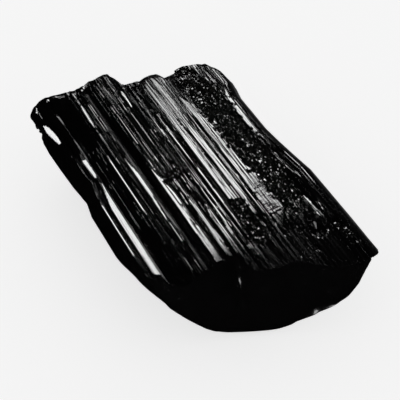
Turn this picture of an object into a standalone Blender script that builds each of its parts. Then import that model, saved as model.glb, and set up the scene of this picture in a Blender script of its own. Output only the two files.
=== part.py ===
"""A black tourmaline (schorl) crystal: one striated trigonal prism, broken off at both ends.

The c-axis runs along Y. The widest prism face is on top, with ribs, grooves, ledges and a strip of
etch pits. The two lower prism faces slope in to a flat base, which the crystal rests on.
Design values are in millimetres: across (X), along (Y) and depth below the highest crest.
"""

import math
import random

import bmesh
import bpy
import numpy as np
from mathutils import Vector, noise

MM = 0.001
NODE = "tourmaline_crystal"

# Driving dimensions.
THICKNESS = 29.5  # from the base to the highest crest
FLATNESS = 0.01  # points closer than this to the lowest depth belong to the flat base
CENTRE_ACROSS = 3.99  # design position of the middle of the finished crystal
CENTRE_ALONG = 9.64

# The top prism face at mid-length, left to right: across, depth. Crests are flat, grooves are notches.
TOP_FACE = (
    (-24.2, 7.6), (-23.8, 5.6), (-22.9, 3.8), (-22.0, 2.7), (-21.6, 2.7), (-21.1, 3.1), (-20.6, 2.1),
    (-18.8, 2.1), (-18.2, 3.0), (-14.4, 1.7), (-14.0, 1.4), (-13.3, 1.4), (-12.8, 2.0), (-12.2, 1.3),
    (-11.4, 1.3), (-10.9, 1.9), (-10.4, 1.0), (-9.2, 1.0), (-7.7, 2.2), (-5.9, 0.6), (-4.2, 0.6),
    (-3.7, 1.4), (-2.4, 0.8), (-1.4, 0.8), (-0.9, 1.2), (-0.1, 0.5), (0.9, 0.5), (1.6, 1.3), (3.1, 0.8),
    (4.0, 1.0), (4.6, 0.3), (5.1, 0.3), (5.7, 1.1), (6.5, 0.0), (8.8, 0.0), (9.3, 0.8), (9.8, 0.0),
    (11.1, 0.0), (12.0, 1.1), (12.5, 0.7), (12.9, 1.1), (13.4, 0.1), (16.4, 0.1), (17.1, 0.8),
    (18.1, 1.1), (19.1, 1.0), (20.1, 1.2), (21.1, 1.2), (22.1, 1.1), (23.1, 1.3), (24.2, 1.0),
    (25.0, 0.4), (26.4, 0.4), (27.1, 1.2), (27.6, 0.9), (28.4, 1.2), (29.2, 1.6), (30.0, 2.4),
    (30.7, 3.6), (31.0, 5.4),
)
# The lower prism faces and the base between them, left to right: across, depth.
LOWER_FACES = (
    (-24.2, 7.6), (-23.9, 10.4), (-21.6, 13.4), (-21.2, 15.0), (-17.4, 19.4), (-17.0, 20.8),
    (-13.2, 24.6), (-12.4, 26.0), (-8.6, 28.4), (-5.5, THICKNESS), (8.5, THICKNESS), (11.6, 27.6),
    (12.5, 26.1), (16.8, 22.8), (17.5, 21.3), (21.6, 18.0), (22.3, 16.6), (25.6, 14.0), (26.2, 12.7),
    (28.8, 10.4), (30.4, 7.6), (31.0, 5.4),
)
# The even rim that the ribs and grooves run out into at the back end: across, depth.
BACK_RIM = (
    (-24.2, 7.0), (-23.0, 3.4), (-20.0, 2.0), (-14.0, 1.2), (-8.0, 0.8), (0.0, 0.5), (6.0, 0.2),
    (12.0, 0.1), (20.0, 0.7), (26.0, 0.6), (29.0, 1.3), (31.0, 5.4),
)
RIM_LENGTH = 3.5
# Where the broken ends meet the top face, and where they lie lower down: across, along.
BACK_EDGE = (
    (-24.2, 54.0), (-21.9, 55.9), (-18.8, 56.1), (-15.8, 55.4), (-11.4, 54.4), (-10.4, 54.2),
    (-5.9, 55.2), (-2.4, 55.6), (-0.1, 55.0), (0.9, 52.0), (1.6, 48.6), (6.5, 48.0), (11.0, 48.6),
    (12.4, 47.8), (13.5, 45.6), (16.4, 46.6), (20.1, 48.0), (24.1, 46.8), (26.4, 45.6), (28.4, 42.8),
    (30.0, 39.0), (31.0, 35.5),
)
BACK_BELOW = (
    (-24.2, 48.0), (-17.0, 50.5), (-8.0, 51.0), (0.0, 50.0), (6.0, 45.5), (14.0, 44.5), (22.0, 43.0),
    (28.0, 38.5), (31.0, 35.0),
)
FRONT_EDGE = (
    (-24.2, -10.0), (-21.9, -13.5), (-20.6, -15.0), (-18.8, -15.4), (-18.1, -17.6), (-15.8, -20.4),
    (-13.3, -21.0), (-11.4, -19.2), (-5.9, -18.8), (-0.1, -18.6), (0.9, -24.6), (4.7, -27.0),
    (11.0, -27.6), (13.5, -29.6), (16.4, -31.6), (20.1, -34.4), (25.0, -35.6), (28.4, -35.4),
    (30.0, -34.0), (31.0, -31.5),
)
FRONT_BELOW = (
    (-24.2, -11.0), (-19.0, -17.0), (-11.5, -21.6), (-5.0, -23.7), (0.0, -25.1), (4.0, -27.1),
    (9.0, -29.3), (12.0, -30.2), (20.0, -34.6), (25.0, -36.4), (28.0, -36.0), (31.0, -32.0),
)
EDGE_DEPTH = 13.0  # depth over which the edge's steps fade into the lower part of the broken end
RIM_DEPTH = 5.0  # depth over which the lumps of the broken ends set in
BREAK_RELIEF = 1.3  # height of the lumps on the broken ends
CHIP_SHARE = 0.4  # height of the chips, as a share of the lumps
BREAK_ROWS = 7  # rows of faces down each broken end

# Cross-sections every few millimetres. The two close pairs make the small broken ledges.
MIDDLE_STATIONS = (28.0, 25.5, 23.0, 20.5, 18.0, 15.5, 12.4, 11.2, 8.6, 6.0, 3.4, 0.8, -1.4, -3.6, -4.6)
BACK_STATIONS, FRONT_STATIONS = 8, 9

# Layers that end in a ledge: left, right, front, back, height added.
LEDGES = (
    (-4.3, 0.2, 11.8, 60.0, 0.5),
    (6.4, 9.0, -60.0, -4.0, -0.7),
    (9.7, 11.1, -60.0, -11.0, -0.6),
    (13.4, 16.5, -60.0, -11.5, -0.6),
    (-12.2, -11.3, -60.0, 37.5, -0.5),
    (25.0, 26.5, -60.0, 14.0, -0.5),
)
# Hollows and swellings of the top face: across, along, half-width, half-length, height added.
SWELLINGS = (
    (20.0, 16.0, 2.6, 6.5, -1.5), (23.8, -9.0, 2.2, 10.0, -1.1), (22.3, -23.5, 2.6, 3.4, -1.6),
    (20.5, 34.0, 2.6, 6.0, -0.9), (21.5, 44.0, 4.0, 4.0, -0.4), (-17.0, 33.0, 2.4, 9.0, -0.5),
    (-18.5, 53.0, 5.0, 5.5, 0.9), (18.5, -2.0, 1.8, 7.0, -0.5),
)
STRIA_WIDTH, STRIA_LENGTH, STRIA_RELIEF = 0.9, 16.0, 0.16  # the coarsest growth striae of the top face
ETCHED_LEFT, ETCHED_RIGHT, ETCH_DEPTH = 16.6, 24.9, 0.95  # the strip of etch pits
PIT_WIDTH, PIT_LENGTH = 1.1, 2.4
RIB_RELIEF = 0.3  # depth of the grooves between ribs of the lower prism faces, down and inwards
WANDER = 0.5  # slow waves of the lower prism faces

# Side walls: how far the right rim, the left rim and the left flank below it move to the right.
RIGHT_RIM = ((-31.0, 1.6), (-22.0, 1.7), (-10.0, 1.8), (-3.0, 1.8), (3.0, 0.9), (10.0, 0.0), (16.0, -0.6),
             (30.0, -0.5), (36.0, 0.7))
LEFT_RIM = ((4.0, 0.0), (16.0, 0.1), (21.0, 1.0), (28.0, 0.3), (36.0, 0.4), (41.0, 0.6), (44.5, -0.2),
            (47.0, -0.8), (49.5, -1.7), (53.0, -2.0), (56.0, -1.4))
LEFT_FLANK = ((4.0, 0.0), (16.0, 0.1), (21.0, 1.0), (28.0, 0.2), (36.0, -0.3), (43.0, -0.6), (47.0, -0.5),
              (49.5, 0.9), (52.0, 2.2))
KNOB_DEPTH, KNOB_UNDERSIDE = 4.4, 2.0  # where the overhanging back left corner turns into the flank
FRONT_ROUNDING, FRONT_SHRINK = 12.0, 0.10  # length and strength of the rounding of the lower front rim

BLACK = (0.008, 0.008, 0.009, 1.0)
ROUGHNESS = 0.22


def clear_scene():
    for thing in list(bpy.data.objects):
        bpy.data.objects.remove(thing, do_unlink=True)


def read_table(table, at):
    """The value of a table of (position, value) points, straight between points."""
    return float(np.interp(at, [row[0] for row in table], [row[1] for row in table]))


def smooth(value):
    value = min(max(value, 0.0), 1.0)
    return value * value * (3.0 - 2.0 * value)


def lower_outline(count):
    """The lower faces as evenly spaced points: across, depth and how far the ribs' groove cuts in."""
    corners = [Vector(corner) for corner in LOWER_FACES]
    runs = [0.0]
    for start, end in zip(corners, corners[1:]):
        runs.append(runs[-1] + (end - start).length)
    ribs = random.Random(11)
    points = []
    for index in range(count):
        run = runs[-1] * index / (count - 1)
        across = float(np.interp(run, runs, [corner.x for corner in corners]))
        depth = float(np.interp(run, runs, [corner.y for corner in corners]))
        points.append((across, depth, ribs.uniform(0.0, RIB_RELIEF) + RIB_RELIEF * (index % 2)))
    return points


def broken_end(edge, below, across, depth, seed):
    """Where a broken end lies along the crystal, at a point of the cross-section."""
    lumps = noise.noise(Vector((across / 6.0, depth / 7.0, seed)))
    chips = noise.noise(Vector((across / 2.2, depth / 2.6, seed + 5.0)))
    relief = BREAK_RELIEF * smooth(depth / RIM_DEPTH) * (lumps + CHIP_SHARE * chips)
    blend = smooth(depth / EDGE_DEPTH)
    return read_table(edge, across) * (1.0 - blend) + read_table(below, across) * blend + relief


def back_end(across, depth):
    return broken_end(BACK_EDGE, BACK_BELOW, across, depth, 3.0)


def front_end(across, depth):
    return broken_end(FRONT_EDGE, FRONT_BELOW, across, depth, 7.0)


def stations_of(across, depth):
    """Every cross-section's position on one line that runs along the crystal, back to front."""
    back = np.linspace(back_end(across, depth), MIDDLE_STATIONS[0], BACK_STATIONS, endpoint=False)
    front = np.linspace(MIDDLE_STATIONS[-1], front_end(across, depth), FRONT_STATIONS + 1)[1:]
    return [*back, *MIDDLE_STATIONS, *front]


def top_relief(across, along):
    """Height added to the top face: ledges, swellings and hollows, and etch pits."""
    added = STRIA_RELIEF * noise.noise(Vector((across / STRIA_WIDTH, along / STRIA_LENGTH, 1.0)))
    for left, right, front, back, height in LEDGES:
        if left < across < right and front < along < back:
            added += height
    for middle, centre, half_width, half_length, height in SWELLINGS:
        reach = math.hypot((across - middle) / half_width, (along - centre) / half_length)
        added += height * smooth(1.0 - reach)
    if ETCHED_LEFT < across < ETCHED_RIGHT:
        pits = noise.cell(Vector((across / PIT_WIDTH, along / PIT_LENGTH, 4.0)))
        added -= ETCH_DEPTH * pits
    return added


def side_shift(across, depth, along):
    """How far a point moves across, for the crystal's uneven side walls and its back left corner."""
    shift = read_table(RIGHT_RIM, along) * smooth((across - 18.0) / 11.0)
    below = smooth((depth - KNOB_DEPTH) / KNOB_UNDERSIDE)
    left = read_table(LEFT_RIM, along) * (1.0 - below) + read_table(LEFT_FLANK, along) * below
    return shift + left * smooth((-17.0 - across) / 5.0)


def rounded_front(across, depth, along):
    """Shrinks the lower part of the cross-section near the front end, which rounds its rim."""
    length = (front_end(across, depth) + FRONT_ROUNDING - along) / FRONT_ROUNDING
    strength = FRONT_SHRINK * min(max(length, 0.0), 1.0) ** 2 * smooth((depth - 2.0) / 6.0)
    return across - (across - CENTRE_ACROSS) * strength, depth - (depth - 8.0) * strength


def back_rim(across, depth, along):
    """The depth of a top point once the grooves have run out towards the back end."""
    share = smooth(1.0 - (back_end(across, depth) - along) / RIM_LENGTH)
    return depth * (1.0 - share) + read_table(BACK_RIM, across) * share


def top_point(across, depth, along):
    below = back_rim(across, depth, along) - top_relief(across, along)
    moved, below = rounded_front(across + side_shift(across, depth, along), below, along)
    return moved, max(below, 0.0)


def lower_point(across, depth, groove, along):
    """A point of the lower faces. The flat base stays flat, and the ribs fade out at the front rim."""
    if depth < THICKNESS - FLATNESS:
        groove *= smooth((along - front_end(across, depth)) / FRONT_ROUNDING)
        wander = noise.noise(Vector((across / 7.0, along / 24.0, 9.0)))
        across -= math.copysign(groove, across - CENTRE_ACROSS)
        depth -= WANDER * (1.0 + wander) + groove
    return rounded_front(across + side_shift(across, depth, along), depth, along)


def place(across, depth, along):
    """A design point as a point of the finished crystal, in metres."""
    return Vector((across - CENTRE_ACROSS, along - CENTRE_ALONG, THICKNESS - depth)) * MM


def crystal_lines():
    """The lines that run along the crystal, as (points on top, points below), left to right."""
    upper = []
    for across, depth in TOP_FACE:
        places = stations_of(across, depth)
        upper.append([(*top_point(across, depth, along), along) for along in places])
    lower = []
    for across, depth, groove in lower_outline(len(TOP_FACE)):
        places = stations_of(across, depth)
        lower.append([(*lower_point(across, depth, groove, along), along) for along in places])
    lower[0], lower[-1] = upper[0], upper[-1]
    return upper, lower


def add_walls(bm, upper, lower):
    """Vertices of every line, and the faces between neighbouring lines. Returns the closed ring."""
    ring = upper + lower[-2:0:-1]
    lines = [[bm.verts.new(place(*point)) for point in line] for line in ring]
    for line, following in zip(lines, lines[1:] + lines[:1]):
        for index in range(len(line) - 1):
            bm.faces.new((line[index], line[index + 1], following[index + 1], following[index]))
    return lines


def add_break(bm, lines, count, station, end):
    """Closes one end with rows of faces from the top face down to the lower faces."""
    tops = [line[station] for line in lines[:count]]
    bottoms = [tops[0]] + [line[station] for line in lines[:count - 1:-1]] + [tops[-1]]
    columns = []
    for top, bottom in zip(tops, bottoms):
        column = [top]
        if top is not bottom:
            for row in range(1, BREAK_ROWS):
                spot = top.co.lerp(bottom.co, row / BREAK_ROWS)
                across, depth = spot.x / MM + CENTRE_ACROSS, THICKNESS - spot.z / MM
                spot.y = (end(across, depth) - CENTRE_ALONG) * MM
                column.append(bm.verts.new(spot))
            column.append(bottom)
        columns.append(column)
    for left, right in zip(columns, columns[1:]):
        rows = max(len(left), len(right)) - 1
        for row in range(rows):
            corners = [left[min(row, len(left) - 1)], right[min(row, len(right) - 1)]]
            corners += [right[min(row + 1, len(right) - 1)], left[min(row + 1, len(left) - 1)]]
            bm.faces.new(list(dict.fromkeys(corners)))


def schorl():
    material = bpy.data.materials.new("black_tourmaline")
    material.use_nodes = True
    shader = material.node_tree.nodes["Principled BSDF"]
    shader.inputs["Base Color"].default_value = BLACK
    shader.inputs["Roughness"].default_value = ROUGHNESS
    shader.inputs["Metallic"].default_value = 0.0
    material.diffuse_color = BLACK
    return material


def make_crystal():
    upper, lower = crystal_lines()
    bm = bmesh.new()
    lines = add_walls(bm, upper, lower)
    add_break(bm, lines, len(upper), 0, back_end)
    add_break(bm, lines, len(upper), -1, front_end)
    bmesh.ops.triangulate(bm, faces=bm.faces[:], quad_method="FIXED")
    bmesh.ops.recalc_face_normals(bm, faces=bm.faces[:])
    mesh = bpy.data.meshes.new(NODE)
    bm.to_mesh(mesh)
    bm.free()
    mesh.materials.append(schorl())
    crystal = bpy.data.objects.new(NODE, mesh)
    bpy.context.scene.collection.objects.link(crystal)
    return crystal


clear_scene()
make_crystal()
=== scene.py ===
"""The finish of a black tourmaline crystal: striae, mirror crests, etch pits, broken ends, and its stage.

Design values are in millimetres: across (X), along the c-axis (Y) and depth below the highest crest.
They become metres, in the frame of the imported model, when a mesh is made.
"""

import math

import bpy
import numpy as np
from bpy.props import FloatProperty, FloatVectorProperty, IntProperty, PointerProperty
from mathutils import Matrix, Vector, noise


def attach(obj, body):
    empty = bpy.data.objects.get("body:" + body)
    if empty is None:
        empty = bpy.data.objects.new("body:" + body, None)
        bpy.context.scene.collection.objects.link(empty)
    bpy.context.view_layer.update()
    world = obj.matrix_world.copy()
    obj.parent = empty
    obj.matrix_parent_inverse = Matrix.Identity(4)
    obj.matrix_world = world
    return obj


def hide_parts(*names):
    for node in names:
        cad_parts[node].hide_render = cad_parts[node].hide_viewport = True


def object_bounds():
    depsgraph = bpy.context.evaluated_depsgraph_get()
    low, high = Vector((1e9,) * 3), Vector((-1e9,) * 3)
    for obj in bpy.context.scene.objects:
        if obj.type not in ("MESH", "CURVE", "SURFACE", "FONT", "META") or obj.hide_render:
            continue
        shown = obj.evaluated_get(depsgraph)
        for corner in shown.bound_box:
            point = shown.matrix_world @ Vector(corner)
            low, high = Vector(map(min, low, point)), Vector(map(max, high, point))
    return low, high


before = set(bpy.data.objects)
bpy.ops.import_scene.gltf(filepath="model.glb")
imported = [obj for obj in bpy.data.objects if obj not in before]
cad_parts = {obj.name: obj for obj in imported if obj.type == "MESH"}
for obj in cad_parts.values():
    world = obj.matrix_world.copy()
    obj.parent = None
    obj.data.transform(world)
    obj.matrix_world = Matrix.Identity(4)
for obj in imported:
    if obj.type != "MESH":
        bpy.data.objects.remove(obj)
CAD_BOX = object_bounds()

bl_info = {
    "name": "Black tourmaline crystal",
    "version": (1, 0, 0),
    "blender": (4, 5, 0),
    "location": "3D View > Sidebar > Crystal",
    "description": "Builds a striated black tourmaline crystal and a studio stage around it",
    "category": "Object",
}

MM = 0.001
NODE = "tourmaline_crystal"
PIECE = "black_tourmaline_crystal"

# The crystal's form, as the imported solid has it.
THICKNESS = round((CAD_BOX[1].z - CAD_BOX[0].z) / MM, 1)
FLATNESS = 0.01  # points closer than this to the lowest depth belong to the flat base
CENTRE_ACROSS, CENTRE_ALONG = 3.99, 9.64  # design position of the middle of the finished crystal

# The top prism face, left to right: across, depth. Crests are flat, grooves are notches.
TOP_FACE = (
    (-24.2, 7.6), (-23.8, 5.6), (-22.9, 3.8), (-21.95, 2.7), (-21.65, 2.7), (-21, 3.1), (-20.3, 2.1),
    (-18.9, 2.1), (-18.2, 3), (-14.4, 1.7), (-13.75, 1.4), (-13.45, 1.4), (-12.8, 2), (-12.2, 1.3),
    (-11.4, 1.3), (-10.9, 1.9), (-10.1, 1), (-9.3, 1), (-7.7, 2.2), (-5.8, 0.6), (-4.3, 0.6),
    (-3.7, 1.4), (-2.4, 0.8), (-1.4, 0.8), (-0.9, 1.2), (-0.1, 0.5), (0.9, 0.5), (1.6, 1.3), (3.1, 0.8),
    (4, 1), (4.6, 0.3), (5.1, 0.3), (5.7, 1.1), (6.8, 0), (8.6, 0), (9.2, 0.25), (9.8, 0), (11.1, 0),
    (11.8, 0.5), (12.2, 0.3), (12.8, 0.4), (13.4, 0.1), (17.2, 0.1), (17.7, 0.8), (18.1, 1.1),
    (20.1, 1.2), (22.1, 1.1), (24.2, 1), (25.4, 0.4), (26.4, 0.4), (27.1, 1.2), (27.6, 0.9),
    (28.4, 1.2), (29.2, 1.6), (30, 2.4), (30.7, 3.6), (31, 5.4),
)
# The lower prism faces and the base between them, left to right: across, depth.
LOWER_FACES = (
    (-24.2, 7.6), (-23.9, 10.4), (-21.6, 13.4), (-21.2, 15), (-17.4, 19.4), (-17, 20.8), (-13.2, 24.6),
    (-12.4, 26), (-8.6, 28.4), (-5.5, THICKNESS), (8.5, THICKNESS), (11.6, 27.6), (12.5, 26.1),
    (16.8, 22.8), (17.5, 21.3), (21.6, 18), (22.3, 16.6), (25.6, 14), (26.2, 12.7), (28.8, 10.4),
    (30.4, 7.6), (31, 5.4),
)
# The even rim that ribs and grooves run out into at the back end: across, depth.
BACK_RIM = (
    (-24.2, 7), (-23, 3.4), (-20, 2), (-14, 1.2), (-8, 0.8), (0, 0.5), (6, 0.2), (12, 0.1), (20, 0.7),
    (26, 0.6), (29, 1.3), (31, 5.4),
)
RIM_LENGTH, RIM_ROUNDING = 3.5, 0.2  # length over which they do, and how far the rim is rounded down
# Where the broken ends meet the top face, and where they lie lower down: across, along.
BACK_EDGE = (
    (-24.2, 54), (-21.9, 55.9), (-18.8, 56.1), (-15.8, 55.4), (-11.4, 54.4), (-10.4, 54.2),
    (-5.9, 55.2), (-2.4, 55.6), (-0.1, 55), (0.9, 52), (1.6, 48.6), (6.5, 48), (11, 48.6), (12.4, 47.8),
    (13.5, 45.6), (16.4, 46.6), (20.1, 48), (24.1, 46.8), (26.4, 45.6), (28.4, 42.8), (30, 39),
    (31, 35.5),
)
BACK_BELOW = (
    (-24.2, 48), (-17, 50.5), (-8, 51), (0, 50), (6, 45.5), (14, 44.5), (22, 43), (28, 38.5), (31, 35),
)
FRONT_EDGE = (
    (-24.2, -10), (-21.9, -13.5), (-20.6, -15), (-18.8, -15.4), (-18.1, -17.6), (-15.8, -20.4),
    (-13.3, -21), (-11.4, -19.2), (-5.9, -18.8), (-0.1, -18.6), (0.9, -24.6), (4.7, -27), (11, -27.6),
    (13.5, -29.6), (16.4, -31.6), (20.1, -34.4), (25, -35.6), (28.4, -35.4), (30, -34), (31, -31.5),
)
FRONT_BELOW = (
    (-24.2, -11), (-19, -17), (-11.5, -21.6), (-5, -23.7), (0, -25.1), (4, -27.1), (9, -29.3),
    (12, -30.2), (20, -34.6), (25, -36.4), (28, -36), (31, -32),
)
BACK_RELIEF, FRONT_RELIEF = 1.3, 0.8  # heights of the lumps on the broken ends
BACK_FADE, FRONT_FADE = 13.0, 26.0  # depths over which the edge's steps fade
RIM_DEPTH = 5.0  # depth over which the lumps of the broken ends set in
LUMP_SIZE, DENT_SIZE = (6.0, 7.0), (2.2, 2.6)  # width and depth of the lumps and of the dents on them
DENT_SHARE = 0.15  # height of the dents, as a share of the lumps
BELOW_SPREAD = 4.0  # half the span over which the lower outline of a broken end is rounded
BREAK_READINGS = 3  # readings on each side from which a rounded outline is averaged
# Slow waves of the lower faces, and the height above the base over which they set in.
WAVE_WIDTH, WAVE_LENGTH, WAVE_FADE = 7.0, 24.0, 4.0
# Layers of the noise, each a pattern of its own. The dents' layer is counted from that of the lumps.
BACK_LAYER, FRONT_LAYER, DENT_LAYER, WAVE_LAYER, ETCHED_LAYER = 3.0, 7.0, 5.0, 9.0, 2.0

# Side walls: how far the right rim, the left rim and the left flank below it move to the right.
RIGHT_RIM = (
    (-31, 1.6), (-22, 1.7), (-10, 1.8), (-3, 1.8), (3, 0.9), (10, 0), (16, -0.6), (30, -0.5), (36, 0.7),
)
LEFT_RIM = (
    (4, 0), (16, 0.1), (21, 1), (28, 0.3), (36, 0.4), (41, 0.6), (44.5, -0.2), (47, -0.8), (49.5, -1.7),
    (53, -2), (56, -1.4),
)
LEFT_FLANK = (
    (4, 0), (16, 0.1), (21, 1), (28, 0.2), (36, -0.3), (43, -0.6), (47, -0.5), (49.5, 0.9), (52, 2.2),
)
# Where across they set in, and over what width.
RIGHT_START, RIGHT_RUN, LEFT_START, LEFT_RUN = 18.0, 11.0, -17.0, 5.0
KNOB_DEPTH, KNOB_UNDERSIDE = 4.4, 2.0  # where the overhanging back left corner turns into the flank
FRONT_ROUNDING, FRONT_SHRINK = 12.0, 0.10  # length and strength of the rounding of the lower front rim
# Depth where the rounding sets in, the depth over which it does, and the depth that it draws towards.
SHRINK_TOP, SHRINK_RUN, SHRINK_CENTRE = 2.0, 6.0, 8.0
LOWER_SOFTNESS = 16  # points of the lower profile on each side that are averaged at the front end

# Layers of the top face that end in a ledge: left, right, front, back, height added.
LEDGES = (
    (-4.3, 0.2, 11.8, 60, 0.35), (6.4, 9, -60, -4, -0.7), (9.7, 11.1, -60, -11, -0.6),
    (13.4, 16.5, -60, -12.5, -0.25), (-12.2, -11.3, -60, 37.5, -0.5), (25, 26.5, -60, 14, -0.5),
)
# Hollows and swellings of the top face: across, along, half-width, half-length, height added.
SWELLINGS = (
    (20, 16, 2.6, 6.5, -1.5), (23.8, -9, 2.2, 10, -1.1), (21.3, -21.5, 2.2, 3.2, -1.6),
    (20.5, 34, 2.6, 6, -0.9), (21.5, 44, 4, 4, -0.4), (-16.6, 33, 1.8, 9, -0.4),
    (-18.5, 53, 5, 5.5, 0.9), (18.5, -2, 1.8, 7, -0.5),
)
# Crests that are whole, mirror-flat faces only between their front and back: left, right, front, back,
# length of the taper in front and behind, and the side that a taper's tip lies on (-1 left, 1 right).
CRESTS = (
    (-21.95, -21.65, -5, 12, 3, 3, 1), (-20.3, -18.9, -13.4, 9, 1.5, 12, 1),
    (-13.75, -13.45, 6, 24, 5, 5, 1), (-12.2, -11.4, 40, 45.5, 3, 3, -1),
    (-10.1, -9.3, 9, 16, 13, 9, -1), (-5.8, -4.3, -18.8, 4.5, 3, 14, -1), (-2.4, -1.4, -17, 0, 3, 5, 1),
    (-0.1, 0.9, -18.6, -6, 3, 5, 1), (4.7, 5.1, -14, 8, 4, 4, 1), (6.8, 8.6, -3.5, 42, 0.8, 8, 1),
    (9.8, 11.1, -8, 42, 5, 8, -1), (13.4, 17.2, -12, 26, 7, 12, -1), (25.4, 26.4, 14, 30, 2, 4, 1),
    (27.5, 28.2, 7, 15, 2, 2, 1),
)
CREST_LEAN = 0.26  # slope beside the whole part of a crest
CREST_FADE = 0.9  # distance over which a leaning crest's low side runs out into the next groove
CREST_TURN = 0.0038  # slope of a whole crest towards the middle of the top face, per millimetre from it
CREST_SLACK = 0.01  # points closer than this to a crest's side belong to the crest
CREST_MARGIN, CREST_END = 0.1, 0.05  # distance beside the whole part, and share of its width, that shine

# Small mirror facets: left, right, front, back, depth, slope across and along, how square the ends are.
MIRRORS = (
    (-23.6, -21.6, 38.8, 47, 3.5, 0.125, -0.120, 2.2),
    (-20.5, -18.9, 21.6, 29.2, 2.1, 0.100, -0.068, 9),
    (-12.3, -11.4, 38, 47.6, 1.3, 0.081, -0.112, 2.4),
    (-0.2, 0.7, 39.2, 46.4, 0.5, 0.034, -0.102, 2.4),
)

# How strongly the striae lean along the top face: across, strength.
STRIA_STRENGTH = (
    (-24.2, 0.5), (-22.8, 0.5), (-22.2, 0.2), (-21, 0.35), (-18.8, 0.35), (-18.2, 0.2), (-12.6, 0.2),
    (-12.2, 0.45), (-9.3, 0.45), (-9, 0.15), (-7.4, 0.15), (-5.9, 0.5), (-4, 1), (5, 0.9), (9, 0.8),
    (11.2, 0.7), (12.9, 0.7), (13.4, 0.8), (25, 0.9), (26.6, 0.7), (31, 0.4),
)
# Share of the lower faces' striae left at the left edge, and the width over which that rises to all.
FLANK_CALM, FLANK_CALM_RUN = 0.5, 2.0
# Where the striae fade out: left, right, front, back, by what share.
QUIET = (
    (-30, -14.8, 33, 60, 0.8), (22.6, 31, -17, 5, 0.6), (-6.5, -1.2, 20, 36, 0.55),
)
QUIET_MARGINS = (2.0, 4.0)  # of each patch, across and along

# The etched strip's left and right margins, and its strength: along, value.
ETCHED_LEFT = (
    (-36, 24), (-24, 20), (-18, 18.8), (-10, 18.4), (0, 17.6), (10, 17), (25, 16.6), (48, 17.2),
)
ETCHED_RIGHT = (
    (-36, 22.6), (-4, 22.8), (8, 24.2), (30, 24.6), (36, 24.2), (41, 22.6), (48, 20),
)
ETCHED_STRENGTH = ((-12.5, 0.0), (-11.0, 1.0))
# Smaller etched patches: left, right, front, back, strength.
ETCHED_PATCHES = (
    (6.6, 9.2, -18.5, -4.8, 0.8), (-4.2, 0.2, 10.4, 12.6, 0.7), (21.9, 22.4, -19, -10, 1),
    (17, 17.3, -27, -14, 1), (26, 26.4, -30, -21, 0.9),
)
ETCHED_MARGIN, ETCHED_MARGINS = 0.8, (0.4, 0.6)  # of the strip, and of each patch across and along
ETCHED_RAGGED, ETCHED_END_RAGGED = 2.0, 6.0  # how far waves move the strip's margins and its front end
ETCHED_WAVES = (0.9, 1.6)  # width and length of those waves
ETCHED_CALM = 0.85  # share of the striae that etching takes away
# Patches of finely etched crests: left, right, front, back, strength, slope across.
FROSTED = (
    (6.2, 13.2, 27, 50, 1, 0), (-3.8, 1.8, 14, 58, 0.6, 0.17), (13.4, 16, 33, 46, 0.9, 0),
    (22.8, 28.4, 38.5, 46, 0.7, 0), (4, 18, -34, -22, 0.4, 0), (11.5, 12.9, 8, 17, 0.8, 0),
)
FROSTED_MARGINS = (0.6, 7.0)  # across and along
FROSTED_FILL = 0.65  # how far the grooves of a frosted patch are filled
CRACKED, CRACKED_MARGINS = (13.2, 17.2, -11, -2), (0.5, 3.0)  # a stretch crossed by fine cracks

# The relief that the surface tree adds. Layers of striae: size, share of the lean.
STRIA_LAYERS = ((1.0, 1.0), (0.5, 0.6))
CREST_CALM = 0.75  # share of the striae that a whole crest takes away
PIT_LAYER, PIT_STRETCH = 7.5, 1.5  # the pits' place in the noise, and their length over their width
PIT_LEAN, BLOCK_LEAN, BLOCK_SCALE = 0.18, 0.75, 0.42  # lean of small facets, lean and scale of larger blocks
PIT_EDGE, PIT_FLOOR = 0.5, 0.05  # distance from a cell's middle where a pit starts and where it is deepest
SWELL_SCALE, SWELL_LEVEL, SWELL_HEIGHT = 0.26, 0.6, 4.5  # slow lumps: scale, zero level, height
CHIP_LAYERS = ((1.0, 0.2), (0.45, 0.1))  # shell-like chips of the broken ends: size, steepness

# The finish. Layers of hairlines: size, place in the noise.
HAIRLINE_LAYERS = ((1.0, 2.0), (0.55, 5.0))
HAIRLINE_CALM = 0.5  # share of the hairlines that a whole crest takes away
SCHORL_IOR = 1.64
FROSTED_ROUGHER, BROKEN_ROUGHER, ETCHED_ROUGHER = 0.10, 0.06, -0.03  # added to a clean face's roughness
DUST_SHARE, FROSTED_DUST = 0.2, 0.3  # dust in etched hollows, and what share of it frosted patches hold
BROKEN_GRAIN = 0.08  # grain of the broken ends, as a share of that of the etched strip
CRACKS = {"Line_Width": 0.5 * MM, "Line_Length": 2.0 * MM, "Lean": 0.04}  # short hairlines across it
CLUSTER_HIGH, CLUSTER_LOW = 0.54, 0.44  # noise between which the grain turns steeper
SPECK_HIGH, SPECK_LOW = 0.62, 0.42  # noise between which dust gathers
SHARP_ANGLE = math.radians(7)  # an edge that turns by more is sharp
SOFT_BREAK = 0.02  # share of their full height from which the chips' edges are soft

# Points of the fine mesh.
LOWER_COLUMNS, TOP_PER_LOWER = 141, 3  # columns of the lower faces, and of the top face for each of them
TOP_COLUMNS = TOP_PER_LOWER * (LOWER_COLUMNS - 1) + 1
BACK_STATIONS, MIDDLE_STATIONS, FRONT_STATIONS = 46, 58, 56
MIDDLE_BACK, MIDDLE_FRONT = 28.0, -5.0  # where the middle stations lie
BREAK_ROWS = 28
CHIP_INSET = 3.0  # distance from a broken end's rim at which the chips reach their full height

# The camera aims at the top face.
VIEW_AZIMUTH, VIEW_ELEVATION, VIEW_DISTANCE = -29.0, 49.5, 240.0
VIEW_LENS, SENSOR_WIDTH = 85.0, 36.0
VIEW_CLIP = (0.01, 20.0)  # in metres

FLOOR_HALF = 1.5  # half the floor's width, in metres
FLOOR_IN_FACES = 0.15  # how brightly the floor beside the right flank shows in its faces
SHOWN_X, SHOWN_Y = (0.004, 0.026), (-0.035, -0.015)  # where on the floor that sets in, in metres

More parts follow.
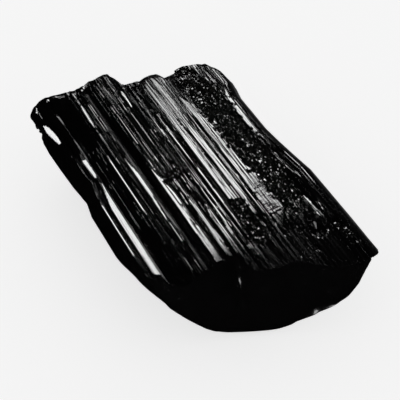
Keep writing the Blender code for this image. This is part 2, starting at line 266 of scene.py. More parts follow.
# Softboxes: name, place from the middle of the top face, width and height, share of the main power.
SOFTBOXES = (
    ("main_softbox", (125, 239, 295), (80, 95), 1.0),
    ("rear_softbox", (133, 318, 258), (80, 70), 0.4),
    ("left_softbox", (-288, -252, 100), (200, 110), 1.1),
    ("low_right_softbox", (400, -30, 18), (230, 95), 1.0),
    ("high_front_softbox", (0, -250, 308), (160, 120), 0.5),
)
WHITE = (1.0, 1.0, 1.0, 1.0)
LOW_RISE = 0.1  # a softbox whose direction rises less than this stands upright
HIGH_SIDE = (0.924, 0.0, -0.383)  # direction that the width of the higher softboxes follows


# -------- sizes and colours a user would change

LENGTH = {"subtype": "DISTANCE", "unit": "LENGTH", "precision": 5}
COLOUR = {"subtype": "COLOR", "size": 3, "min": 0, "max": 1}


class CrystalSettings(bpy.types.PropertyGroup):
    """Sizes and colours of the crystal's surface."""
    stria_width: FloatProperty(
        name="Stria width", description="Usual width of one growth stria", default=0.75 * MM,
        min=0.2 * MM, max=3 * MM, **LENGTH)
    stria_length: FloatProperty(
        name="Stria length", description="Usual length of one growth stria", default=24 * MM,
        min=2 * MM, max=80 * MM, **LENGTH)
    stria_lean: FloatProperty(
        name="Stria lean", description="Steepest lean of a stria's face", default=math.radians(15),
        min=0, max=math.radians(45), subtype="ANGLE", unit="ROTATION")
    pit_size: FloatProperty(
        name="Etch pit size", description="Usual width of one etch pit", default=1.05 * MM,
        min=0.2 * MM, max=4 * MM, **LENGTH)
    pit_depth: FloatProperty(
        name="Etch pit depth", description="Depth of the deepest etch pits", default=0.55 * MM,
        min=0, max=2 * MM, **LENGTH)
    chip_size: FloatProperty(
        name="Chip size", description="Usual width of a chip on a broken end", default=5.0 * MM,
        min=0.5 * MM, max=10 * MM, **LENGTH)
    seed: IntProperty(name="Seed", description="Chooses the pattern of striae and pits", default=4)
    colour: FloatVectorProperty(
        name="Crystal colour", description="Colour of the opaque crystal", default=(0.0011, 0.0010, 0.0011),
        **COLOUR)
    dust_colour: FloatVectorProperty(
        name="Dust colour", description="Colour of the mineral dust left in pits",
        default=(0.030, 0.029, 0.026), **COLOUR)
    roughness: FloatProperty(
        name="Roughness", description="Roughness of a clean crystal face", default=0.10, min=0, max=1,
        subtype="FACTOR")


class StageSettings(bpy.types.PropertyGroup):
    """Light and floor of the studio stage."""
    floor_colour: FloatVectorProperty(
        name="Floor colour", description="Colour of the floor", default=(0.8, 0.8, 0.8), **COLOUR)
    floor_glow: FloatProperty(
        name="Floor glow", description="Light given off by the floor, which softens its shadows",
        default=0.7, min=0)
    ambient: FloatProperty(
        name="Ambient light", description="Even light that falls on the floor", default=0.275, min=0)
    softbox_power: FloatProperty(
        name="Softbox power", description="Power of the main softbox", default=0.33, min=0, subtype="POWER")


# -------- the crystal's form

def smooth(value):
    value = np.clip(value, 0.0, 1.0)
    return value * value * (3.0 - 2.0 * value)


def between(value, low, high, margin):
    """1 between low and high, falling to 0 over the margin outside them."""
    return smooth((value - low) / margin + 1.0) * smooth((high - value) / margin + 1.0)


def patch(across, along, box, margins):
    """1 inside a box of left, right, front and back, falling to 0 over its margins across and along."""
    left, right, front, back = box
    return between(across, left, right, margins[0]) * between(along, front, back, margins[1])


def waves(across, along, layer):
    """Smooth noise between -1 and 1 at every point."""
    spots = zip(np.ravel(across), np.ravel(along))
    return np.array([noise.noise(Vector((x, y, layer))) for x, y in spots]).reshape(np.shape(across))


def read_table(table, at):
    return np.interp(at, [row[0] for row in table], [row[1] for row in table])


def read_softly(table, at, spread):
    """A table read with its corners rounded: the mean of readings over a spread on both sides."""
    steps = range(-BREAK_READINGS, BREAK_READINGS + 1)
    return np.mean([read_table(table, at + spread * step / BREAK_READINGS) for step in steps], axis=0)


def rounded_profile(values, count):
    """A profile with its corners rounded: the mean of each point and its neighbours on both sides."""
    padded = np.pad(values, count, mode="reflect", reflect_type="odd")
    return np.convolve(padded, np.full(2 * count + 1, 1.0 / (2 * count + 1)), mode="valid")


def even_points(table, count):
    """Points at nearly even steps along an outline, with one on each corner: across, depth, length so far."""
    corners = np.array(table)
    runs = np.concatenate(([0.0], np.cumsum(np.hypot(*np.diff(corners, axis=0).T))))
    steps = np.interp(np.arange(count), np.round(runs / runs[-1] * (count - 1)), runs)
    return np.interp(steps, runs, corners[:, 0]), np.interp(steps, runs, corners[:, 1]), steps


def broken_end(edge, below, across, depth, layer, height, fade, inner):
    """Where a broken end lies along the crystal, at a point of the cross-section. inner picks, of two
    places, the one further inside, so that no step of the edge grows outwards below it."""
    lumps = waves(across / LUMP_SIZE[0], depth / LUMP_SIZE[1], layer)
    dents = waves(across / DENT_SIZE[0], depth / DENT_SIZE[1], layer + DENT_LAYER)
    inside = min(depth, read_table(LOWER_FACES, across) - depth)
    relief = height * smooth(inside / RIM_DEPTH) * (lumps + DENT_SHARE * dents)
    blend = smooth(depth / fade)
    lower = read_softly(below, across, BELOW_SPREAD)
    softened = read_softly(edge, across, BELOW_SPREAD * smooth(depth / RIM_DEPTH))
    upper = inner(read_table(edge, across), softened)
    return float(upper * (1.0 - blend) + lower * blend + relief)


def back_end(across, depth):
    return broken_end(BACK_EDGE, BACK_BELOW, across, depth, BACK_LAYER, BACK_RELIEF, BACK_FADE, min)


def front_end(across, depth):
    return broken_end(FRONT_EDGE, FRONT_BELOW, across, depth, FRONT_LAYER, FRONT_RELIEF, FRONT_FADE, max)


def stations_of(across, depth):
    """Positions along one line of the crystal, back to front."""
    back = np.linspace(back_end(across, depth), MIDDLE_BACK, BACK_STATIONS, endpoint=False)
    middle = np.linspace(MIDDLE_BACK, MIDDLE_FRONT, MIDDLE_STATIONS, endpoint=False)
    front = np.linspace(MIDDLE_FRONT, front_end(across, depth), FRONT_STATIONS)
    return np.concatenate((back, middle, front))


def top_relief(across, along):
    """Height added to the top face: ledges, swellings and hollows, and the lean of broken crests."""
    added = np.zeros_like(across)
    for left, right, front, back, height in LEDGES:
        added += height * (across > left) * (across < right) * (along > front) * (along < back)
    for middle, centre, half_width, half_length, height in SWELLINGS:
        reach = np.hypot((across - middle) / half_width, (along - centre) / half_length)
        added += height * smooth(1.0 - reach)
    return added + crest_parts(across, along)[0] + frosted_lean(across, along)


def crest_parts(across, along):
    """Height that turns whole crests to the middle and leans the rest away, and 1 where they are whole."""
    lean, mask = np.zeros_like(across), np.zeros_like(across)
    for left, right, front, back, front_run, back_run, tip in CRESTS:
        whole = smooth((along - front) / front_run + 1.0) * smooth((back - along) / back_run + 1.0)
        on_strip = (across >= left - CREST_SLACK) * (across <= right + CREST_SLACK)
        middle = (left + right) / 2.0
        from_tip = right - across if tip > 0 else across - left
        beside = np.maximum(from_tip - whole * (right - left), 0.0)
        fallen = CREST_LEAN * (1.0 - whole) * (right - left)
        past = np.maximum(left - across, 0.0) if tip > 0 else np.maximum(across - right, 0.0)
        past = (past > CREST_SLACK) * fallen * np.maximum(1.0 - past / CREST_FADE, 0.0)
        lean += on_strip * (CREST_TURN * middle * (across - middle) - CREST_LEAN * beside) - past
        mask = np.maximum(mask, on_strip * (beside < CREST_MARGIN) * (whole > CREST_END))
    return lean, mask


def back_rim(across, depth, along):
    """The depth of top points: the grooves run out towards the back end and in the frosted patches."""
    from_end = (along[:, :1] - along) / RIM_LENGTH
    share = np.maximum(smooth(1.0 - from_end), FROSTED_FILL * frosted_mask(across, along))
    rounding = RIM_ROUNDING * smooth(1.0 - from_end * 2.0)
    return depth * (1.0 - share) + read_table(BACK_RIM, across) * share + rounding


def inside_mirror(across, along, mirror):
    """Which points lie inside a mirror facet's outline, a lens or a long box."""
    left, right, front, back, _, _, _, squareness = mirror
    reach = np.abs((along - (front + back) / 2.0) / (back - front) * 2.0)
    half = (right - left) / 2.0 * np.sqrt(np.clip(1.0 - reach ** squareness, 0.0, 1.0))
    return np.abs(across - (left + right) / 2.0) < half


def on_mirrors(across, along):
    return np.max([inside_mirror(across, along, mirror) for mirror in MIRRORS], axis=0)


def mirrored(across, depth, along):
    """The depth of top points with the small mirror facets cut in."""
    for mirror in MIRRORS:
        left, right, front, back, level, slope_across, slope_along, _ = mirror
        plane = level + slope_across * (across - (left + right) / 2.0)
        plane = plane + slope_along * (along - (front + back) / 2.0)
        depth = np.where(inside_mirror(across, along, mirror), plane, depth)
    return depth


def side_shift(across, depth, along):
    """How far points move across, for the uneven side walls and the overhanging back left corner."""
    shift = read_table(RIGHT_RIM, along) * smooth((across - RIGHT_START) / RIGHT_RUN)
    below = smooth((depth - KNOB_DEPTH) / KNOB_UNDERSIDE)
    left = read_table(LEFT_RIM, along) * (1.0 - below) + read_table(LEFT_FLANK, along) * below
    return shift + left * smooth((LEFT_START - across) / LEFT_RUN)


def rounded_front(across, depth, along, softer):
    """Rounds the edges of the lower faces near the front end and shrinks them a little, to round its rim."""
    length = np.clip((along[:, -1:] + FRONT_ROUNDING - along) / FRONT_ROUNDING, 0.0, 1.0)
    across, depth = across + softer[0] * length, depth + softer[1] * length
    strength = FRONT_SHRINK * length ** 2 * smooth((depth - SHRINK_TOP) / SHRINK_RUN)
    return across - (across - CENTRE_ACROSS) * strength, depth - (depth - SHRINK_CENTRE) * strength


def wander(across, depth, along):
    """Slow waves of the lower prism faces, which leave the base flat."""
    slow = 0.5 + 0.5 * waves(across / WAVE_WIDTH, along / WAVE_LENGTH, WAVE_LAYER)
    return slow * smooth((THICKNESS - depth) / WAVE_FADE)


def wall_lines():
    """The walls as arrays of lines by stations: across, depth, along, girth, and which part of the wall."""
    top_across, top_depth, top_run = even_points(TOP_FACE, TOP_COLUMNS)
    low_across, low_depth, low_run = even_points(LOWER_FACES, LOWER_COLUMNS)
    ring_across = np.concatenate((top_across, low_across[-2:0:-1]))
    ring_depth = np.concatenate((top_depth, low_depth[-2:0:-1]))
    ring_girth = np.concatenate((top_run, top_run[-1] + (low_run[-1] - low_run[-2:0:-1])))
    along = np.array([stations_of(*point) for point in zip(ring_across, ring_depth)])
    design_across, design_depth, girth = (
        np.repeat(ring[:, None], along.shape[1], axis=1) for ring in (ring_across, ring_depth, ring_girth))
    on_top = np.arange(len(ring_across))[:, None] < TOP_COLUMNS
    resting = ~on_top & (design_depth >= THICKNESS - FLATNESS)
    raised = back_rim(design_across, design_depth, along) - top_relief(design_across, along)
    depth = np.where(on_top, mirrored(design_across, raised, along), design_depth)
    depth = depth - np.where(on_top, 0.0, wander(design_across, depth, along))
    across = design_across + side_shift(design_across, design_depth, along)
    softer = np.zeros((2, len(ring_across), 1))
    for axis, profile in enumerate((low_across, low_depth)):
        softer[axis, TOP_COLUMNS:, 0] = (rounded_profile(profile, LOWER_SOFTNESS) - profile)[-2:0:-1]
    across, depth = rounded_front(across, depth, along, softer)
    return across, np.maximum(depth, 0.0), along, girth, design_across, on_top, resting


def wall_faces(lines, stations):
    """Quads between neighbouring lines of the closed ring of walls."""
    faces = []
    for line in range(lines):
        start, following = line * stations, (line + 1) % lines * stations
        faces += [(start + k, start + k + 1, following + k + 1, following + k) for k in range(stations - 1)]
    return faces


def break_mesh(spots, station, stations, end, first_index):
    """One broken end, as new points and faces that join the top face to the lower faces."""
    lines = len(spots) // stations
    tops = [TOP_PER_LOWER * column * stations + station for column in range(LOWER_COLUMNS)]
    lows = [(lines - column) * stations + station for column in range(LOWER_COLUMNS)]
    lows[0], lows[-1] = tops[0], tops[-1]
    points, columns = [], []
    for top, low in zip(tops, lows):
        column = []
        if top != low:
            for row in range(1, BREAK_ROWS):
                across, _, depth = spots[top] + (spots[low] - spots[top]) * row / BREAK_ROWS
                column.append(first_index + len(points))
                inside = min(depth - spots[top][2], spots[low][2] - depth)
                points.append((across, end(across, depth), depth, smooth(inside / CHIP_INSET)))
        columns.append(column + [low])
    faces = []
    for index, (left, right) in enumerate(zip(columns, columns[1:])):
        upper = [tops[index] + step * stations for step in range(TOP_PER_LOWER + 1)]
        faces.append(list(dict.fromkeys(upper + [right[0], left[0]])))
        for row in range(max(len(left), len(right)) - 1):
            corners = [left[min(row, len(left) - 1)], right[min(row, len(right) - 1)]]
            corners += [right[min(row + 1, len(right) - 1)], left[min(row + 1, len(left) - 1)]]
            faces.append(list(dict.fromkeys(corners)))
    return points, faces


def placed(spots):
    """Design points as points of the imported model's frame, in metres."""
    across, along, depth = np.array(spots).T
    return np.column_stack((across - CENTRE_ACROSS, along - CENTRE_ALONG, THICKNESS - depth)) * MM


def store(mesh, name, values):
    attribute = mesh.attributes.new(name, "FLOAT", "POINT")
    attribute.data.foreach_set("value", np.asarray(values, dtype=np.float32))


def etched_mask(across, along):
    """The etched strip on the right and the smaller etched patches, with ragged margins."""
    uneven = waves(across / ETCHED_WAVES[0], along / ETCHED_WAVES[1], ETCHED_LAYER)
    ragged = across + ETCHED_RAGGED * uneven
    strip = between(ragged, read_table(ETCHED_LEFT, along), read_table(ETCHED_RIGHT, along), ETCHED_MARGIN)
    strip = strip * read_table(ETCHED_STRENGTH, along + ETCHED_END_RAGGED * uneven)
    patches = [strength * patch(ragged, along, box, ETCHED_MARGINS) for *box, strength in ETCHED_PATCHES]
    return np.max([strip, *patches], axis=0)


def frosted_patches(across, along):
    """Each frosted patch: its strength at every point, and the height that leans it."""
    for *box, strength, slope in FROSTED:
        left, right = box[:2]
        share = patch(across, along, box, FROSTED_MARGINS)
        yield strength * share, share * slope * (np.clip(across, left, right) - (left + right) / 2.0)


def frosted_mask(across, along):
    return np.max([strength for strength, _ in frosted_patches(across, along)], axis=0)


def frosted_lean(across, along):
    return sum(lean for _, lean in frosted_patches(across, along))


def stria_strength(across, along, on_top):
    """How strongly the striae lean. They fade out in the quiet patches and at the lower front rim."""
    quiet = np.max([share * patch(across, along, box, QUIET_MARGINS) for *box, share in QUIET], axis=0)
    from_edge = smooth((across - TOP_FACE[0][0]) / FLANK_CALM_RUN)
    lower = smooth((along - along[:, -1:]) / FRONT_ROUNDING) * (FLANK_CALM + (1.0 - FLANK_CALM) * from_edge)
    return np.where(on_top, read_table(STRIA_STRENGTH, across) * (1.0 - quiet), lower)


def form_mesh():
    """The crystal's form, with the attributes that steer its striae, pits and chips."""
    across, depth, along, girth, design_across, on_top, resting = wall_lines()
    stations = across.shape[1]
    spots = np.column_stack((across.ravel(), along.ravel(), depth.ravel()))
    back_points, back_faces = break_mesh(spots, 0, stations, back_end, len(spots))
    front_start = len(spots) + len(back_points)
    front_points, front_faces = break_mesh(spots, stations - 1, stations, front_end, front_start)
    broken = np.array(back_points + front_points)
    every = np.vstack((spots, broken[:, :3]))
    faces = wall_faces(*across.shape) + [face[::-1] for face in back_faces] + front_faces
    mesh = bpy.data.meshes.new(PIECE)
    mesh.from_pydata(placed(every).tolist(), [], faces)

    spot = design_across, along
    etched = etched_mask(*spot) * on_top
    mirrors = on_mirrors(*spot)
    striated = stria_strength(*spot, on_top) * (1.0 - ETCHED_CALM * etched)
    masks = {
        "girth": girth * MM,
        "along": along * MM,
        "etched": etched,
        "crest": np.maximum(crest_parts(*spot)[1], mirrors) * on_top * (1.0 - etched),
        "frosted": frosted_mask(*spot) * (1.0 - mirrors) * on_top,
        "cracked": patch(*spot, CRACKED, CRACKED_MARGINS) * on_top,
        "striated": np.where(resting, 0.0, striated),
    }
    for name, values in masks.items():
        store(mesh, name, np.concatenate((values.ravel(), np.zeros(len(broken)))))
    store(mesh, "broken", np.concatenate((np.zeros(len(spots)), broken[:, 3])))
    return mesh


# -------- striae, pits and chips

def fill(tree, node, *values, **named):
    """Sets a node's inputs, in order or by name with _ for a space. A value that is a socket is linked."""
    pairs = list(zip(node.inputs, values))
    pairs += [(node.inputs[name.replace("_", " ")], value) for name, value in named.items()]
    for socket, value in pairs:
        if isinstance(value, bpy.types.NodeSocket):
            tree.links.new(value, socket)
        else:
            socket.default_value = value
    return node


def add_node(tree, kind, *values, **named):
    return fill(tree, tree.nodes.new(kind), *values, **named)


def calculate(tree, operation, *values):
    """The result of one Math node."""
    node = tree.nodes.new("ShaderNodeMath")
    node.operation = operation
    return fill(tree, node, *values).outputs[0]


def times(tree, result, *others):
    """The product of several values."""
    for other in others:
        result = calculate(tree, "MULTIPLY", result, other)
    return result


def add_up(tree, parts):
    """The sum of several values."""
    result, *others = parts
    for part in others:
        result = calculate(tree, "ADD", result, part)
    return result


def calculate_vector(tree, operation, *values, **named):
    """The outputs of one Vector Math node, Vector and Value."""
    node = tree.nodes.new("ShaderNodeVectorMath")
    node.operation = operation
    return fill(tree, node, *values, **named).outputs


def soft_step(tree, value, low, high):
    """0 at low and below, 1 at high and above, or the other way round where low is the larger."""
    node = add_node(tree, "ShaderNodeMapRange", value, low, high)
    node.interpolation_type = "SMOOTHSTEP"
    return node.outputs["Result"]


def point(tree, *places):
    return add_node(tree, "ShaderNodeCombineXYZ", *places).outputs[0]


def mask_of(tree, name):
    return add_node(tree, "GeometryNodeInputNamedAttribute", name).outputs["Attribute"]


def facets(tree, spot, size, steepness, turn=1.0):
    """Flat facets of random lean over cells of a pattern, and the distance from each cell's middle. turn 0
    leans them across only."""
    cells = add_node(tree, "ShaderNodeTexVoronoi", Vector=spot, Scale=1.0).outputs
    offset = calculate_vector(tree, "SUBTRACT", spot, cells["Position"])["Vector"]
    twice, less = (2.0, 2.0 * turn, 2.0 * turn), (-1.0, -turn, -turn)
    lean = calculate_vector(tree, "MULTIPLY_ADD", cells["Color"], twice, less)["Vector"]
    height = calculate_vector(tree, "DOT_PRODUCT", offset, lean)["Value"]
    return times(tree, height, size, steepness), cells["Distance"]


def line_facets(tree, across, along, width, length, layers):
    """Long narrow facets that lean left or right, in layers of size, lean and place in the noise."""
    heights = []
    for scale, lean, place in layers:
        narrow = times(tree, width, scale)
        spot = point(tree, calculate(tree, "DIVIDE", across, narrow),
                     calculate(tree, "DIVIDE", along, times(tree, length, 0.5 + scale / 2.0)), place)
        heights.append(facets(tree, spot, narrow, lean, turn=0.0)[0])
    return add_up(tree, heights)


TREE_INPUTS = (
    ("Stria Width", "stria_width"), ("Stria Length", "stria_length"), ("Stria Lean", "stria_lean"),
    ("Pit Size", "pit_size"), ("Pit Depth", "pit_depth"), ("Chip Size", "chip_size"),
)


def surface_tree():
    """Geometry Nodes that raise striae on the walls, pits in the etched strip and chips on the ends."""
    tree = bpy.data.node_groups.new("Striae, pits and chips", "GeometryNodeTree")
    new_socket = tree.interface.new_socket
    new_socket("Geometry", in_out="INPUT", socket_type="NodeSocketGeometry")
    for name, _ in TREE_INPUTS:
        new_socket(name, in_out="INPUT", socket_type="NodeSocketFloat")
    new_socket("Seed", in_out="INPUT", socket_type="NodeSocketInt")
    new_socket("Material", in_out="INPUT", socket_type="NodeSocketMaterial")
    new_socket("Geometry", in_out="OUTPUT", socket_type="NodeSocketGeometry")
    given = tree.nodes.new("NodeGroupInput").outputs
    height = add_up(tree, (stria_height(tree, given), pit_height(tree, given), chip_height(tree, given)))
    normal = tree.nodes.new("GeometryNodeInputNormal").outputs["Normal"]
    offset = calculate_vector(tree, "SCALE", normal, Scale=height)["Vector"]
    moved = add_node(tree, "GeometryNodeSetPosition", Geometry=given["Geometry"], Offset=offset)
    real = add_node(tree, "GeometryNodeRealizeInstances", Geometry=moved.outputs[0])
    finish = add_node(tree, "GeometryNodeSetMaterial", Geometry=real.outputs[0], Material=given["Material"])
    add_node(tree, "NodeGroupOutput", finish.outputs[0])
    return tree


def stria_height(tree, given):
    """Growth striae, much flatter on whole crests."""
    slope = calculate(tree, "TANGENT", given["Stria Lean"])
    layers = [(scale, times(tree, slope, share), calculate(tree, "ADD", given["Seed"], scale))
              for scale, share in STRIA_LAYERS]
    height = line_facets(tree, mask_of(tree, "girth"), mask_of(tree, "along"), given["Stria Width"],
                         given["Stria Length"], layers)
    calm = calculate(tree, "MULTIPLY_ADD", mask_of(tree, "crest"), -CREST_CALM, 1.0)
    return times(tree, height, calm, mask_of(tree, "striated"))


def pit_height(tree, given):
    """Slow lumps, blocks, small facets and round pits of the etched strip."""
    size = given["Pit Size"]
    spot = point(tree, calculate(tree, "DIVIDE", mask_of(tree, "girth"), size),
                 calculate(tree, "DIVIDE", mask_of(tree, "along"), times(tree, size, PIT_STRETCH)),
                 calculate(tree, "ADD", given["Seed"], PIT_LAYER))
    small, distance = facets(tree, spot, size, PIT_LEAN)
    wider = calculate_vector(tree, "SCALE", spot, Scale=BLOCK_SCALE)["Vector"]
    blocks, _ = facets(tree, wider, size, BLOCK_LEAN)
    hollow = times(tree, soft_step(tree, distance, PIT_EDGE, PIT_FLOOR), given["Pit Depth"])
    height = calculate(tree, "SUBTRACT", calculate(tree, "ADD", small, blocks), hollow)
    noisy = add_node(tree, "ShaderNodeTexNoise", Vector=spot, Scale=SWELL_SCALE, Detail=1.0).outputs["Fac"]
    lump = times(tree, calculate(tree, "SUBTRACT", noisy, SWELL_LEVEL), size)
    height = calculate(tree, "MULTIPLY_ADD", lump, SWELL_HEIGHT, height)
    return times(tree, height, mask_of(tree, "etched"))


def chip_height(tree, given):
    """Shell-like hollows of the broken ends, with ridges between them."""
    place = tree.nodes.new("GeometryNodeInputPosition").outputs[0]
    heights = []
    for scale, steepness in CHIP_LAYERS:
        size = times(tree, given["Chip Size"], scale)
        finer = calculate(tree, "DIVIDE", 1.0, size)
        cells = add_node(tree, "ShaderNodeTexVoronoi", Vector=place, Scale=finer).outputs
        heights.append(times(tree, calculate(tree, "POWER", cells["Distance"], 2.0), size, steepness))
    return times(tree, add_up(tree, heights), mask_of(tree, "broken"))


def grown(thing, tree, settings, material):
    """The mesh that the tree makes of an object, with the modifier taken off again."""
    modifier = thing.modifiers.new("Surface", "NODES")
    modifier.node_group = tree
    inputs = {item.name: item.identifier for item in tree.interface.items_tree if item.in_out == "INPUT"}
    for name, setting in TREE_INPUTS:
        modifier[inputs[name]] = getattr(settings, setting)
    modifier[inputs["Seed"]] = settings.seed
    modifier[inputs["Material"]] = material
    graph = bpy.context.evaluated_depsgraph_get()
    mesh = bpy.data.meshes.new_from_object(thing.evaluated_get(graph), depsgraph=graph)
    thing.modifiers.clear()
    return mesh


# -------- the crystal's finish

def shader_group(name, inputs, outputs):
    """A shader node group whose sockets are numbers. Returns it with its input sockets and output node."""
    group = bpy.data.node_groups.new(name, "ShaderNodeTree")
    new_socket = group.interface.new_socket
    for label, value in inputs.items():
        new_socket(label, in_out="INPUT", socket_type="NodeSocketFloat").default_value = value
    for label in outputs:
        new_socket(label, in_out="OUTPUT", socket_type="NodeSocketFloat")
    given = group.nodes.new("NodeGroupInput").outputs
    return group, given, group.nodes.new("NodeGroupOutput")


def growth_lines_group():
    """Hairlines: the height of long narrow facets that run along the second direction, in metres."""
    inputs = {"Across": 0.0, "Along": 0.0, "Line Width": 0.45 * MM, "Line Length": 26 * MM, "Lean": 0.2}
    group, given, out = shader_group("Growth lines", inputs, ["Height"])
    layers = [(scale, given["Lean"], place) for scale, place in HAIRLINE_LAYERS]
    height = line_facets(group, given["Across"], given["Along"], given["Line Width"], given["Line Length"],
                         layers)
    fill(group, out, Height=height)
    return group


def grain_group():
    """Etched grain: the height of tiny facets in metres, and a mask for the hollows where dust gathers."""
    inputs = {"Grain Size": 0.95 * MM, "Lean": 0.14, "Cluster Size": 3.2 * MM, "Hollow Lean": 0.3}
    group, given, out = shader_group("Etched grain", inputs, ["Height", "Hollows"])
    place = group.nodes.new("ShaderNodeTexCoord").outputs["Object"]
    finer = calculate(group, "DIVIDE", 1.0, given["Grain Size"])
    spot = calculate_vector(group, "SCALE", place, Scale=finer)["Vector"]
    height, _ = facets(group, spot, given["Grain Size"], given["Lean"])
    specks = add_node(group, "ShaderNodeTexNoise", Vector=spot, Scale=1.0, Detail=2.0).outputs["Fac"]
    spread = add_node(group, "ShaderNodeTexNoise", Vector=place, Detail=1.0,
                      Scale=calculate(group, "DIVIDE", 1.0, given["Cluster Size"])).outputs["Fac"]
    cluster = soft_step(group, spread, CLUSTER_HIGH, CLUSTER_LOW)
    steeper = calculate(group, "MULTIPLY_ADD", cluster, given["Hollow Lean"], 1.0)
    hollows = soft_step(group, specks, SPECK_HIGH, SPECK_LOW)
    fill(group, out, Height=times(group, height, steeper), Hollows=hollows)
    return group


def placed_group(tree, group, **values):
    """A shader group set into a material with its own values."""
    node = tree.nodes.new("ShaderNodeGroup")
    node.node_tree = group
    return fill(tree, node, **values).outputs


def surface_mask(tree, name):
    node = tree.nodes.new("ShaderNodeAttribute")
    node.attribute_name = name
    return node.outputs["Fac"]


def mixed(tree, factor, first, second):
    """Two colours mixed. A Mix node's colour sockets share their names with others, so they go by number."""
    node = add_node(tree, "ShaderNodeMix", factor)
    node.data_type = "RGBA"
    node.inputs[6].default_value = (*first, 1.0)
    node.inputs[7].default_value = (*second, 1.0)
    return node.outputs[2]


def tourmaline_material(settings):
    """Opaque black tourmaline: glassy faces with growth lines, frosted and etched patches, dull breaks."""
    material = bpy.data.materials.new("black_tourmaline_finish")
    material.use_nodes = True
    tree = material.node_tree
    etched, frosted, broken, crest, striated, cracked, girth, along = (
        surface_mask(tree, name)
        for name in ("etched", "frosted", "broken", "crest", "striated", "cracked", "girth", "along"))
    lines_group = growth_lines_group()
    lines = placed_group(tree, lines_group, Across=girth, Along=along)
    cracks = placed_group(tree, lines_group, Across=along, Along=girth, **CRACKS)
    grain = placed_group(tree, grain_group())

    dull = calculate(tree, "MULTIPLY_ADD", frosted, FROSTED_DUST, etched)
    dusty = times(tree, dull, DUST_SHARE, grain["Hollows"])
    colour = mixed(tree, dusty, settings.colour, settings.dust_colour)

    roughness = settings.roughness
    for mask, more in ((frosted, FROSTED_ROUGHER), (broken, BROKEN_ROUGHER), (etched, ETCHED_ROUGHER)):
        roughness = calculate(tree, "MULTIPLY_ADD", mask, more, roughness)

    calm = calculate(tree, "MULTIPLY_ADD", crest, -HAIRLINE_CALM, 1.0)
    grainy = calculate(tree, "MULTIPLY_ADD", broken, BROKEN_GRAIN, etched)
    relief = add_up(tree, (times(tree, lines["Height"], striated, calm),
                           times(tree, cracks["Height"], cracked), times(tree, grain["Height"], grainy)))
    bump = add_node(tree, "ShaderNodeBump", Height=relief, Strength=1.0, Distance=1.0)
    fill(tree, tree.nodes["Principled BSDF"], Base_Color=colour, Roughness=roughness, IOR=SCHORL_IOR,
         Normal=bump.outputs["Normal"])
    return material


def soften_breaks(mesh):
    """Takes the sharp edges off the broken ends, whose hollows are rounded."""
    corners = np.empty(2 * len(mesh.edges), dtype=np.int32)
    mesh.edges.foreach_get("vertices", corners)
    broken = np.empty(len(mesh.vertices), dtype=np.float32)
    mesh.attributes["broken"].data.foreach_get("value", broken)
    sharp = np.empty(len(mesh.edges), dtype=bool)
    mesh.attributes["sharp_edge"].data.foreach_get("value", sharp)
    sharp &= broken[corners].reshape(-1, 2).min(axis=1) < SOFT_BREAK
    mesh.attributes["sharp_edge"].data.foreach_set("value", sharp)


class CRYSTAL_OT_tourmaline(bpy.types.Operator):
    """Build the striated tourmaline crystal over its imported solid."""
    bl_idname = "crystal.tourmaline"
    bl_label = "Tourmaline crystal"

    def execute(self, context):
        settings = context.scene.tourmaline
        material = tourmaline_material(settings)
        form = bpy.data.objects.new(PIECE, form_mesh())
        context.scene.collection.objects.link(form)
        mesh = grown(form, surface_tree(), settings, material)
        if not mesh.polygons:
            raise RuntimeError("the crystal's surface tree made no faces")
        mesh.name = PIECE
        form.data = mesh
        mesh.shade_smooth()
        mesh.set_sharp_from_angle(angle=SHARP_ANGLE)
        soften_breaks(mesh)
        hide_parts(NODE)
        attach(form, "root")
        return {"FINISHED"}


# -------- the stage

def direction(azimuth, elevation):
    """The unit vector from the crystal towards a place round it, with azimuth 0 in front."""
    turn, rise = math.radians(azimuth), math.radians(elevation)
    return Vector((math.sin(turn) * math.cos(rise), -math.cos(turn) * math.cos(rise), math.sin(rise)))


def stand(scene, name, data, place, turn):
    """An object of the stage, at its place from the middle of the top face, in metres, and turned."""
    thing = bpy.data.objects.new(name, data)
    thing.location = Vector((-CENTRE_ACROSS, -CENTRE_ALONG, THICKNESS)) * MM + place
    thing.rotation_mode = "QUATERNION"
    thing.rotation_quaternion = turn
    scene.collection.objects.link(thing)
    return thing


def add_camera(scene):
    data = bpy.data.cameras.new("camera")
    data.lens = VIEW_LENS
    data.sensor_width = SENSOR_WIDTH
    data.clip_start, data.clip_end = VIEW_CLIP
    back = direction(VIEW_AZIMUTH, VIEW_ELEVATION)
    scene.camera = stand(scene, "camera", data, back * VIEW_DISTANCE * MM, (-back).to_track_quat("-Z", "Y"))


def add_softbox(scene, name, place, size, power):
    """A rectangular light that faces the middle of the top face. The low ones stand upright."""
    data = bpy.data.lights.new(name, "AREA")
    data.shape = "RECTANGLE"
    data.size, data.size_y = size[0] * MM, size[1] * MM
    data.energy = power
    place = Vector(place)
    away = place.normalized()
    side = Vector(HIGH_SIDE) if away.z > LOW_RISE else Vector((-away.y, away.x, 0.0))
    width = (side - away * away.dot(side)).normalized()
    turn = Matrix((width, away.cross(width), away)).transposed().to_quaternion()
    return stand(scene, name, data, place * MM, turn)


def studio_world(ambient, shown):
    """Even light for the floor, the floor's own shade behind it, and darkness in the reflections."""
    world = bpy.data.worlds.new("studio")
    world.use_nodes = True
    world.cycles.sampling_method = "NONE"
    tree = world.node_tree
    path = tree.nodes.new("ShaderNodeLightPath")
    light = times(tree, path.outputs["Is Diffuse Ray"], ambient)
    light = calculate(tree, "MULTIPLY_ADD", path.outputs["Is Camera Ray"], shown, light)
    fill(tree, tree.nodes["Background"], Color=WHITE, Strength=light)
    return world


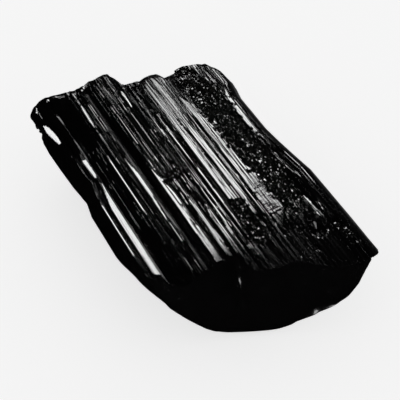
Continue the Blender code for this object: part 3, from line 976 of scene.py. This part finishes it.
def floor_material(colour, glow):
    """A matt, softly lit floor. Glossy faces see it as black, so that they stay deep black, but for a dim
    stretch beside the right flank."""
    material = bpy.data.materials.new("pale_floor")
    material.use_nodes = True
    tree = material.node_tree
    matt = fill(tree, tree.nodes["Principled BSDF"], Base_Color=(*colour, 1.0), Roughness=1.0,
                Specular_IOR_Level=0.0, Emission_Color=WHITE, Emission_Strength=glow)
    path = tree.nodes.new("ShaderNodeLightPath")
    coordinates = tree.nodes.new("ShaderNodeTexCoord").outputs["Object"]
    place = add_node(tree, "ShaderNodeSeparateXYZ", Vector=coordinates).outputs
    beside = times(tree, soft_step(tree, place["X"], *SHOWN_X), soft_step(tree, place["Y"], *SHOWN_Y))
    seen = add_node(tree, "ShaderNodeEmission", Strength=times(tree, beside, FLOOR_IN_FACES))
    mix = add_node(tree, "ShaderNodeMixShader", path.outputs["Is Glossy Ray"], matt.outputs[0],
                   seen.outputs[0])
    fill(tree, tree.nodes["Material Output"], Surface=mix.outputs[0])
    return material


def add_floor(scene, settings):
    mesh = bpy.data.meshes.new("floor")
    corners = [(x * FLOOR_HALF, y * FLOOR_HALF, 0.0) for x, y in ((-1, -1), (1, -1), (1, 1), (-1, 1))]
    mesh.from_pydata(corners, [], [(0, 1, 2, 3)])
    mesh.materials.append(floor_material(settings.floor_colour, settings.floor_glow))
    floor = bpy.data.objects.new("floor", mesh)
    floor.location.z = CAD_BOX[0].z
    scene.collection.objects.link(floor)


class CRYSTAL_OT_stage(bpy.types.Operator):
    """Set up the pale floor, the soft studio lights and the camera."""
    bl_idname = "crystal.stage"
    bl_label = "Studio stage"

    def execute(self, context):
        if PIECE not in bpy.data.objects:
            raise RuntimeError("the stage is set up around the crystal, which is missing")
        scene = context.scene
        settings = scene.crystal_stage
        add_floor(scene, settings)
        shown = settings.ambient * settings.floor_colour[0] + settings.floor_glow
        scene.world = studio_world(settings.ambient, shown)
        scene.view_settings.view_transform = "Standard"
        lit = bpy.data.collections.new("lit_by_softboxes")
        lit.objects.link(bpy.data.objects[PIECE])
        for name, place, size, share in SOFTBOXES:
            light = add_softbox(scene, name, place, size, settings.softbox_power * share)
            light.light_linking.receiver_collection = lit
        add_camera(scene)
        return {"FINISHED"}


class CRYSTAL_PT_panel(bpy.types.Panel):
    """Lists the crystal's operators and settings."""
    bl_idname = "CRYSTAL_PT_panel"
    bl_label = "Tourmaline crystal"
    bl_space_type = "VIEW_3D"
    bl_region_type = "UI"
    bl_category = "Crystal"

    def draw(self, context):
        for operator, settings in (
            (CRYSTAL_OT_tourmaline, context.scene.tourmaline),
            (CRYSTAL_OT_stage, context.scene.crystal_stage),
        ):
            box = self.layout.box()
            for name in settings.bl_rna.properties.keys():
                if name not in ("rna_type", "name"):
                    box.prop(settings, name)
            box.operator(operator.bl_idname)


CLASSES = (CrystalSettings, StageSettings, CRYSTAL_OT_tourmaline, CRYSTAL_OT_stage, CRYSTAL_PT_panel)


def register():
    for cls in CLASSES:
        bpy.utils.register_class(cls)
    bpy.types.Scene.tourmaline = PointerProperty(type=CrystalSettings)
    bpy.types.Scene.crystal_stage = PointerProperty(type=StageSettings)


def unregister():
    del bpy.types.Scene.crystal_stage
    del bpy.types.Scene.tourmaline
    for cls in reversed(CLASSES):
        bpy.utils.unregister_class(cls)


def main():
    register()
    bpy.ops.crystal.tourmaline()
    bpy.ops.crystal.stage()


if __name__ == "__main__":
    main()
